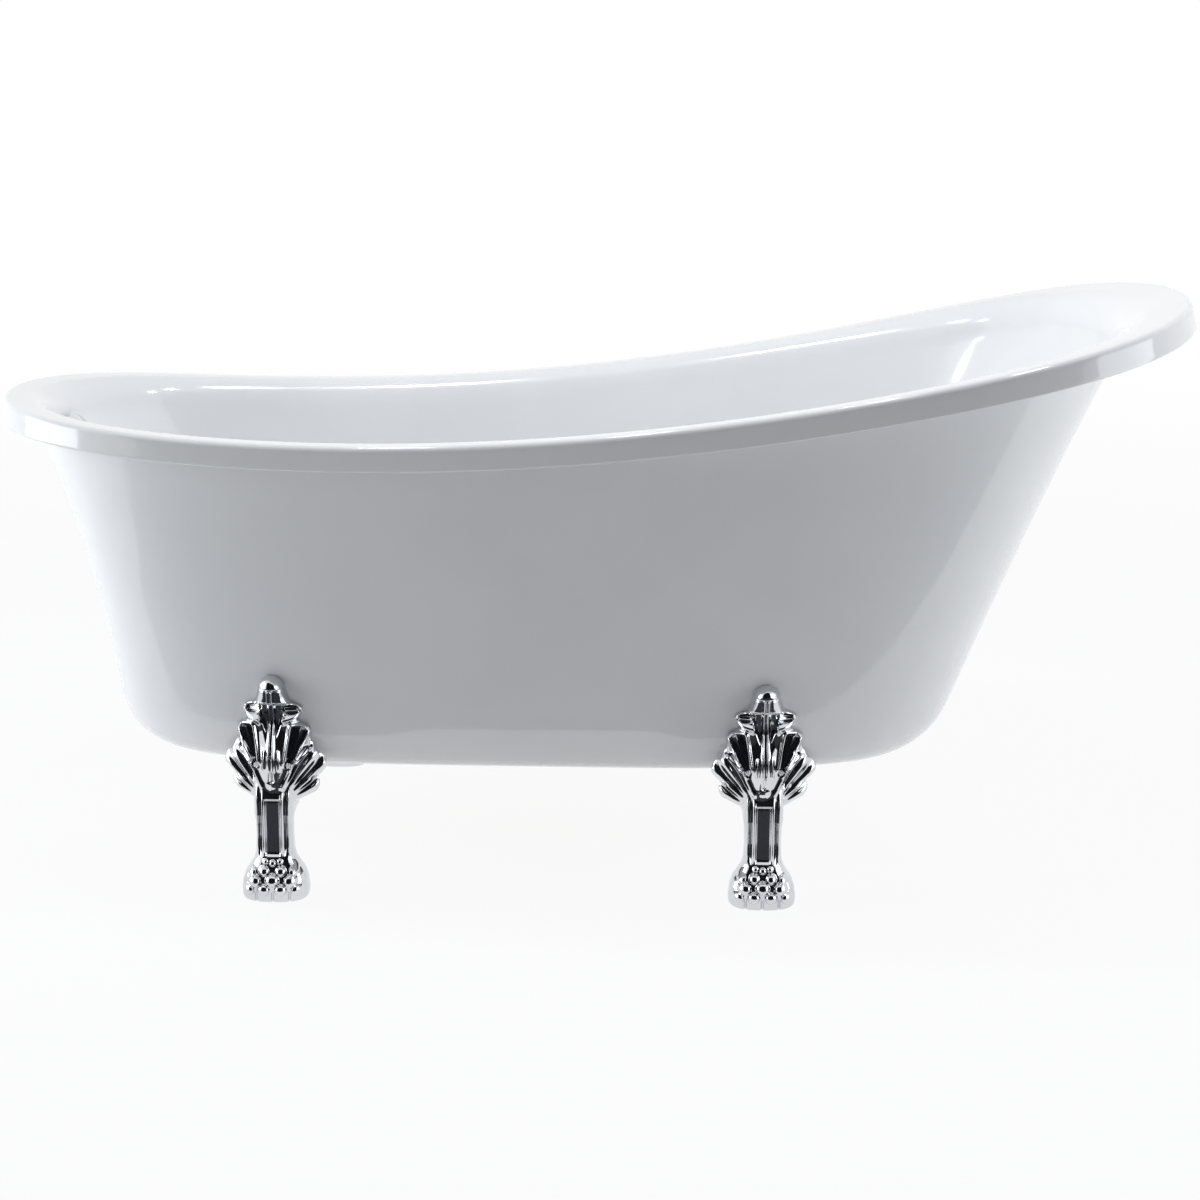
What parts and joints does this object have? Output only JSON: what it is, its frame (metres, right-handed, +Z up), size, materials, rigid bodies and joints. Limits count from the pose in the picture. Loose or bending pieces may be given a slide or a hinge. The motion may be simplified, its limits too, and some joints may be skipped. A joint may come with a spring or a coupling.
{
  "type": "clawfoot bathtub",
  "caption": "Slipper bathtub with a rolled rim that rises to a backrest, a separate outer apron, cast claw feet on levelling pads, and a drain and overflow at its low end.",
  "frame": {"origin": "on the floor, under the middle of the rim", "axes": "+X along the tub to the raised head end, +Y to the far side, +Z up"},
  "size_m": [1.5, 0.72, 0.7331],
  "materials": {
    "acrylic": "high gloss",
    "chipboard": "raw particle board",
    "galvanised_steel": "galvanised",
    "chromed_casting": "polished chrome",
    "zinc_steel": "zinc plated",
    "nylon": "moulded matt",
    "chromed_brass": "polished chrome",
    "brass": "turned",
    "rubber": "matt",
    "waste_plastic": "moulded satin"
  },
  "bodies": {
    "tub": {"basin": "acrylic", "apron": "acrylic", "base_board": "chipboard", "side_rail_near": "galvanised_steel", "side_rail_far": "galvanised_steel", "cross_rail_low": "galvanised_steel", "cross_rail_middle": "galvanised_steel", "cross_rail_high": "galvanised_steel", "claw_foot_near_low": "chromed_casting", "claw_foot_near_high": "chromed_casting", "claw_foot_far_low": "chromed_casting", "claw_foot_far_high": "chromed_casting", "foot_bolts": "zinc_steel", "foot_washers": "zinc_steel", "foot_nuts": "zinc_steel", "drain_flange": "chromed_brass", "tailpiece": "chromed_brass", "slip_nut": "chromed_brass", "overflow_cover": "chromed_brass", "overflow_screw": "chromed_brass", "plug_sleeve": "brass", "waste_gasket": "rubber", "hood_seal": "rubber", "waste_body": "waste_plastic", "overflow_hood": "waste_plastic", "overflow_pipe": "waste_plastic", "pipe_nuts": "waste_plastic"},
    "plug": {"plug": "chromed_brass", "plug_seal": "rubber"},
    "pad_near_low": {"leveller_pad_near_low": "nylon"},
    "stem_near_low": {"leveller_stem_near_low": "zinc_steel"},
    "pad_near_high": {"leveller_pad_near_high": "nylon"},
    "stem_near_high": {"leveller_stem_near_high": "zinc_steel"},
    "pad_far_low": {"leveller_pad_far_low": "nylon"},
    "stem_far_low": {"leveller_stem_far_low": "zinc_steel"},
    "pad_far_high": {"leveller_pad_far_high": "nylon"},
    "stem_far_high": {"leveller_stem_far_high": "zinc_steel"}
  },
  "joints": [
    {"name": "plug_lift", "type": "slide", "parent": "tub", "child": "plug", "axis": [0, 0, 1], "range_m": [0, 0.008]},
    {"name": "level_near_low", "type": "slide", "parent": "tub", "child": "pad_near_low", "axis": [0, 0, -1], "range_m": [0, 0.012]},
    {"name": "turn_near_low", "type": "hinge", "parent": "pad_near_low", "child": "stem_near_low", "pos_m": [-0.376, -0.256, 0.01], "axis": [0, 0, -1], "range_deg": [0, 2880]},
    {"name": "level_near_high", "type": "slide", "parent": "tub", "child": "pad_near_high", "axis": [0, 0, -1], "range_m": [0, 0.012]},
    {"name": "turn_near_high", "type": "hinge", "parent": "pad_near_high", "child": "stem_near_high", "pos_m": [0.224, -0.256, 0.01], "axis": [0, 0, -1], "range_deg": [0, 2880]},
    {"name": "level_far_low", "type": "slide", "parent": "tub", "child": "pad_far_low", "axis": [0, 0, -1], "range_m": [0, 0.012]},
    {"name": "turn_far_low", "type": "hinge", "parent": "pad_far_low", "child": "stem_far_low", "pos_m": [-0.376, 0.256, 0.01], "axis": [0, 0, -1], "range_deg": [0, 2880]},
    {"name": "level_far_high", "type": "slide", "parent": "tub", "child": "pad_far_high", "axis": [0, 0, -1], "range_m": [0, 0.012]},
    {"name": "turn_far_high", "type": "hinge", "parent": "pad_far_high", "child": "stem_far_high", "pos_m": [0.224, 0.256, 0.01], "axis": [0, 0, -1], "range_deg": [0, 2880]}
  ],
  "couplings": [
    {"joint": "turn_near_low", "follows": "level_near_low", "rad_per_m": 4188.8},
    {"joint": "turn_near_high", "follows": "level_near_high", "rad_per_m": 4188.8},
    {"joint": "turn_far_low", "follows": "level_far_low", "rad_per_m": 4188.8},
    {"joint": "turn_far_high", "follows": "level_far_high", "rad_per_m": 4188.8}
  ]
}
